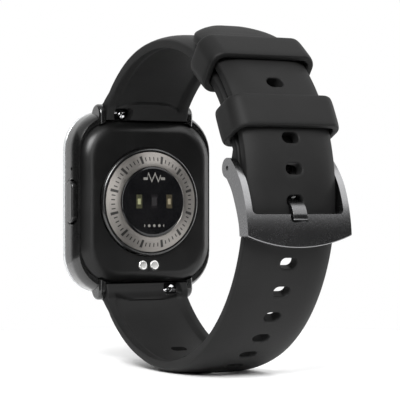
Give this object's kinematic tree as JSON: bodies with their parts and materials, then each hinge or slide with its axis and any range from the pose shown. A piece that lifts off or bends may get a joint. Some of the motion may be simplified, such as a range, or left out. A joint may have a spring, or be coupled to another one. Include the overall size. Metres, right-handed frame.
{
  "type": "smartwatch",
  "caption": "Rectangular smartwatch with a round back sensor and a two-piece silicone strap buckled into a loop; lugs, keepers, buckle, tang and side button move.",
  "frame": {"origin": "centre of the sensor window's outer (wrist-side) face", "axes": "+Y out through the cover glass, -Y towards the wrist, +Z towards 12 o'clock (the strap half with the buckle), side button on -X"},
  "size_m": [0.0344, 0.0718, 0.0708],
  "materials": {
    "cover_glass": "polished black-backed glass",
    "case_gloss": "glossy black moulding",
    "case_matte": "fine matte moulding",
    "inner_plastic": "moulded",
    "sensor_glass": "polished tinted window",
    "ring_film": "satin silver with fine radial ticks",
    "silicone": "matte silicone",
    "gunmetal": "dark fine-blasted coating with bright edges",
    "steel": "plain",
    "contact_metal": "bright plated",
    "circuit_board": "solder resist",
    "seal_rubber": "soft seal",
    "battery_foil": "foil pouch",
    "display_black": "display, off",
    "led_lens": "pale lens"
  },
  "bodies": {
    "case": {"middle_frame": "case_gloss", "cover_glass": "cover_glass", "back_cover": "case_matte", "sensor_bezel": "case_gloss", "sensor_ring": "ring_film", "sensor_window": "sensor_glass", "charge_contact_a": "contact_metal", "charge_contact_b": "contact_metal", "display_gasket": "seal_rubber", "display_panel": "display_black", "inner_carrier": "inner_plastic", "main_board": "circuit_board", "battery": "battery_foil", "speaker": "inner_plastic", "vibration_motor": "steel", "microphone": "steel", "board_screw_a": "steel", "board_screw_b": "steel", "board_screw_c": "steel", "board_screw_d": "steel", "button_seal": "seal_rubber", "button_switch": "steel", "back_gasket": "seal_rubber", "sensor_board": "circuit_board", "green_led": "led_lens", "photodiode": "inner_plastic", "infrared_led": "led_lens", "charge_magnet_a": "contact_metal", "charge_magnet_b": "contact_metal"},
    "side_button": {"side_button": "case_gloss"},
    "short_strap": {"short_strap": "silicone", "fixed_keeper": "silicone", "buckle_bar": "steel", "upper_bar_tube": "steel", "upper_bar_fixed_tip": "steel", "upper_bar_spring": "steel"},
    "upper_release_pin": {"upper_release_pin": "steel"},
    "free_keeper": {"free_keeper": "silicone"},
    "buckle_frame": {"buckle_frame": "gunmetal"},
    "buckle_tang": {"buckle_tang": "gunmetal"},
    "long_strap": {"long_strap": "silicone", "lower_bar_tube": "steel", "lower_bar_fixed_tip": "steel", "lower_bar_spring": "steel"},
    "lower_release_pin": {"lower_release_pin": "steel"}
  },
  "joints": [
    {"name": "button_press", "type": "slide", "parent": "case", "child": "side_button", "axis": [1, 0, 0], "range_m": [0, 0.0003], "stiffness_N_per_m": 3000, "springref_m": -0.0002},
    {"name": "short_strap_pivot", "type": "hinge", "parent": "case", "child": "short_strap", "pos_m": [0, 0.0056, 0.0198], "axis": [-1, 0, 0], "range_deg": [0, 75]},
    {"name": "long_strap_pivot", "type": "hinge", "parent": "case", "child": "long_strap", "pos_m": [0, 0.0056, -0.0198], "axis": [1, 0, 0], "range_deg": [0, 75], "deforming": ["long_strap"]},
    {"name": "upper_release_slide", "type": "slide", "parent": "short_strap", "child": "upper_release_pin", "axis": [1, 0, 0], "range_m": [0, 0.0011], "stiffness_N_per_m": 1500, "springref_m": -0.0005, "deforming": ["upper_bar_spring"]},
    {"name": "lower_release_slide", "type": "slide", "parent": "long_strap", "child": "lower_release_pin", "axis": [-1, 0, 0], "range_m": [0, 0.0011], "stiffness_N_per_m": 1500, "springref_m": -0.0005, "deforming": ["lower_bar_spring"]},
    {"name": "free_keeper_slide", "type": "hinge", "parent": "short_strap", "child": "free_keeper", "pos_m": [0, -0.0218, 0], "axis": [1, 0, 0], "range_deg": [-60, 11]},
    {"name": "buckle_pivot", "type": "hinge", "parent": "short_strap", "child": "buckle_frame", "pos_m": [0, -0.0529, 0.0064], "axis": [-1, 0, 0], "range_deg": [0, 54]},
    {"name": "tang_pivot", "type": "hinge", "parent": "short_strap", "child": "buckle_tang", "pos_m": [0, -0.0529, 0.0064], "axis": [-1, 0, 0], "range_deg": [0, 54]}
  ],
  "couplings": [
    {"joint": "tang_pivot", "follows": "buckle_pivot", "ratio": 1}
  ]
}
